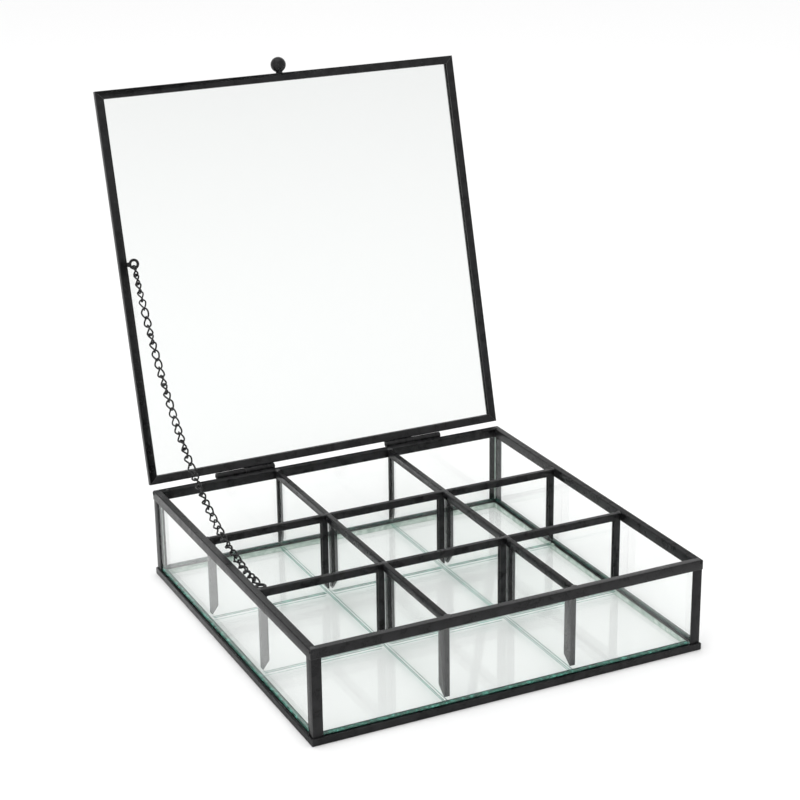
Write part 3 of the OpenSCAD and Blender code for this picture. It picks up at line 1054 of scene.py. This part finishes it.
@dataclass
class CurbChain:
    """The curb chain: twisted wire links along the curve in which it hangs. Millimetres.

    Its top and end are given as the distance behind the box's middle and the height.
    """

    shop: Workshop
    pitch: float = 5.45
    link_width: float = 4.9
    wire: float = 0.9
    drawn_wire: float = 1.06
    tight_wire: float = 0.94
    tight_links: tuple[int, ...] = (3, 4, 17, 18, 31, 32)
    play: float = 0.25
    slack: float = 1.047
    ring_wire: float = 1.7
    top: Span = (155.2363, 187.6272)
    end: Span = (-29.1833, 54.0)
    across: float = -112.15
    link_twist_deg: float = 90.0
    first_turn_deg: float = 100.0
    runs: tuple[int, ...] = (4, 5, 3, 6, 2, 5, 3, 1, 3, 2, 5, 5)
    run_turns_deg: tuple[float, ...] = (35, 180, 90, 180, 0, 180, 90, 0, 90, 0, 180, 180)
    sides: int = 12
    end_steps: int = 9
    leg_steps: int = 4
    root_steps: int = 12

    def __post_init__(self) -> None:
        """Works out the link's form and the hanging curve, a catenary of the chain's length."""
        self.centre_length = self.pitch + self.wire + self.play
        self.end_radius = (self.link_width - self.wire) / 2
        self.leg_half = self.centre_length / 2 - self.end_radius
        self.first_at = self.centre_length / 2 - (self.ring_wire + self.wire) / 2 - self.play
        last_at = self.centre_length / 2
        span = (self.top[0] - self.end[0], self.top[1] - self.end[1])
        free = self.slack * math.hypot(*span) - self.first_at - last_at
        self.length = round(free / self.pitch) * self.pitch + self.first_at + last_at
        ratio = math.sqrt(self.length ** 2 - span[1] ** 2) / span[0]
        root = math.sqrt(6 * (ratio - 1))
        for _ in range(self.root_steps):
            slope = (root * math.cosh(root) - math.sinh(root)) / root ** 2
            root -= (math.sinh(root) / root - ratio) / slope
        self.sag = span[0] / 2 / root
        self.lowest = (self.end[0] + self.top[0]) / 2 - self.sag * math.atanh(span[1] / self.length)
        self.start = self.sag * math.sinh((self.end[0] - self.lowest) / self.sag)
        self.base = self.end[1] - self.sag * math.cosh((self.end[0] - self.lowest) / self.sag)

    def _twist(self, link: int) -> float:
        """Finds how far a link is turned about the chain.

        Args:
            link: The link's number, counted from the lid.

        Returns:
            The turn, in radians.
        """
        first, turned = -0.5, self.first_turn_deg
        for links, turn in zip(self.runs, self.run_turns_deg):
            if link <= first + links:
                return math.radians(turned + turn * (link - first) / links)
            first += links
            turned += turn
        return math.radians(turned)

    def _placement(self, link: int) -> Matrix:
        """Finds where a link lies.

        Args:
            link: The link's number, counted from the lid.

        Returns:
            The link's place and turn, in millimetres.
        """
        along = self.length - self.first_at - link * self.pitch
        curve = math.asinh((self.start + along) / self.sag)
        y = self.lowest + self.sag * curve + BOX_MIDDLE
        z = self.base + self.sag * math.cosh(curve)
        slope = math.atan(math.sinh(curve))
        return (Matrix.Translation((self.across, y, z)) @ Matrix.Rotation(slope, 4, "X")
                @ Matrix.Rotation(-self._twist(link), 4, "Y"))

    def _stations(self) -> list[Span]:
        """Finds the link's centre line before it is twisted.

        Returns:
            Its points, as along and across.
        """
        radius, leg = self.end_radius, self.leg_half
        line = []
        for sign in (1, -1):
            for step in range(self.end_steps + 1):
                angle = math.pi * (step / self.end_steps - 0.5)
                line.append((sign * (leg + radius * math.cos(angle)), sign * radius * math.sin(angle)))
            for step in range(1, self.leg_steps):
                line.append((sign * leg * (1 - 2 * step / self.leg_steps), sign * radius))
        return line

    def _curb(self, along: float) -> float:
        """Returns the link's own twist at a point along it, in radians."""
        share = along / (self.leg_half + self.end_radius / 2)
        return math.radians(self.link_twist_deg / 2) * max(-1.0, min(1.0, share))

    def _in_space(self, station: Span) -> Vector:
        """Returns a station of the twisted centre line."""
        twist = self._curb(station[0])
        return Vector((station[1] * math.cos(twist), station[0], station[1] * math.sin(twist)))

    def _ring(self, mesh: bmesh.types.BMesh, place: Matrix, middle: Vector, out: Vector, up: Vector,
              radius: float) -> list[bmesh.types.BMVert]:
        """Adds the points round the wire at one station.

        Args:
            mesh: The run's mesh.
            place: The link's place and turn.
            middle: The station.
            out: One way across the wire.
            up: The other way across it.
            radius: The wire's radius.

        Returns:
            The new points.
        """
        angles = [2 * math.pi * j / self.sides for j in range(self.sides)]
        return [mesh.verts.new(place @ (middle + radius * (math.cos(a) * out + math.sin(a) * up)) * MM)
                for a in angles]

    def _add_link(self, mesh: bmesh.types.BMesh, link: int) -> None:
        """Adds one link as a closed tube. The links that would meet in the closed box are thinner.

        Args:
            mesh: The run's mesh.
            link: The link's number.
        """
        place = self._placement(link)
        thick = self.tight_wire if link in self.tight_links else self.drawn_wire
        line = self._stations()
        points = [self._in_space(station) for station in line]
        count = len(points)
        rings = []
        for i, point in enumerate(points):
            ahead = (points[(i + 1) % count] - points[i - 1]).normalized()
            twist = self._curb(line[i][0])
            out = ahead.cross(Vector((-math.sin(twist), 0.0, math.cos(twist)))).normalized()
            rings.append(self._ring(mesh, place, point, out, out.cross(ahead), thick / 2))
        for one, two in zip(rings, rings[1:] + rings[:1]):
            for j in range(self.sides):
                k = (j + 1) % self.sides
                mesh.faces.new((one[j], one[k], two[k], two[j]))

    def build(self) -> list[bpy.types.Object]:
        """Makes the links of every run.

        Returns:
            One piece for each run.
        """
        made, link = [], 0
        for number, links in enumerate(self.runs, 1):
            mesh = bmesh.new()
            for _ in range(links):
                self._add_link(mesh, link)
                link += 1
            bmesh.ops.recalc_face_normals(mesh, faces=mesh.faces)
            node = f"chain_{number}"
            run = self.shop.piece(f"links_{number}", mesh, node, Slot.CHAIN, [self.shop.chain],
                                  smooth_deg=60.0)
            made.append(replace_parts(run, node))
        return made


@dataclass(frozen=True)
class SoftBox:
    """A square studio light. Metres and watts."""

    name: str
    place: Point
    size: float
    power: float

    def hang(self, aim: Vector) -> None:
        """Hangs the light.

        Args:
            aim: The point that it faces.
        """
        data = bpy.data.lights.new(self.name, "AREA")
        data.shape = "SQUARE"
        data.size = self.size
        data.energy = self.power
        light = bpy.data.objects.new(self.name, data)
        light.location = self.place
        light.rotation_mode = "QUATERNION"
        light.rotation_quaternion = (aim - light.location).to_track_quat("-Z", "Y")
        bpy.context.scene.collection.objects.link(light)


@dataclass
class Bench:
    """The camera, the floor and the light. The eye is placed from the middle of the box."""

    focal_px: float = 2006.1
    image_px: float = 800.0
    sensor_mm: float = 36.0
    eye_mm: Point = (-477.8, -970.6, 527.1)
    azimuth_deg: float = 25.77
    elevation_deg: float = 20.0
    roll_deg: float = -0.74
    clip_m: Span = (0.05, 100.0)
    floor_m: float = 30.0
    floor_drop_mm: float = 0.02
    sky: float = 1.0
    aim_mm: Point = (0.0, BOX_MIDDLE, 50.0)
    boxes: tuple[SoftBox, ...] = (
        SoftBox("top_box", (-0.3, 0.3, 1.9), size=1.6, power=10.0),
        SoftBox("side_box", (-1.6, -0.9, 1.2), size=1.1, power=7.0))
    clear_bounces: int = 64
    bounces: int = 16

    def build(self) -> None:
        """Makes all of it."""
        self._camera()
        self._floor()
        self._lights()
        scene = bpy.context.scene
        scene.view_settings.view_transform = "Standard"
        scene.cycles.transparent_max_bounces = self.clear_bounces
        scene.cycles.max_bounces = self.bounces

    def _camera(self) -> None:
        """Puts the camera where the photograph was taken."""
        data = bpy.data.cameras.new("camera")
        data.sensor_width = self.sensor_mm
        data.lens = self.focal_px / self.image_px * self.sensor_mm
        data.clip_start, data.clip_end = self.clip_m
        camera = bpy.data.objects.new("camera", data)
        bpy.context.scene.collection.objects.link(camera)
        turn, fall = math.radians(self.azimuth_deg), math.radians(self.elevation_deg)
        ahead = Vector((math.sin(turn) * math.cos(fall), math.cos(turn) * math.cos(fall), -math.sin(fall)))
        camera.rotation_mode = "QUATERNION"
        level = ahead.to_track_quat("-Z", "Y")
        camera.rotation_quaternion = level @ Quaternion((0, 0, 1), math.radians(self.roll_deg))
        x, y, z = self.eye_mm
        camera.location = Vector((x, y + BOX_MIDDLE, z)) * MM
        bpy.context.scene.camera = camera

    def _floor(self) -> None:
        """Lays the floor."""
        mesh = bmesh.new()
        bmesh.ops.create_grid(mesh, x_segments=1, y_segments=1, size=self.floor_m / 2)
        data = bpy.data.meshes.new("floor")
        mesh.to_mesh(data)
        mesh.free()
        data.materials.append(StudioPaper("studio_paper").make())
        floor = bpy.data.objects.new("floor", data)
        floor.location.z = -self.floor_drop_mm * MM
        bpy.context.scene.collection.objects.link(floor)

    def _lights(self) -> None:
        """Hangs the soft boxes under an even white sky."""
        world = bpy.data.worlds.new("white_sky")
        world.use_nodes = True
        back = world.node_tree.nodes["Background"]
        back.inputs["Color"].default_value = (1.0, 1.0, 1.0, 1.0)
        back.inputs["Strength"].default_value = self.sky
        bpy.context.scene.world = world
        for box in self.boxes:
            box.hang(Vector(self.aim_mm) * MM)


def main() -> None:
    """Builds the bench and every sub-assembly, and reports each piece."""
    logging.basicConfig(level=logging.INFO, format="%(message)s")
    Bench().build()
    shop = Workshop()
    for assembly in (MetalFrame(shop), Glazing(shop), GreenEdges(shop), Fittings(shop),
                     SolderWork(shop), CurbChain(shop)):
        for made in assembly.build():
            log_piece(made)


if __name__ == "__main__":
    main()
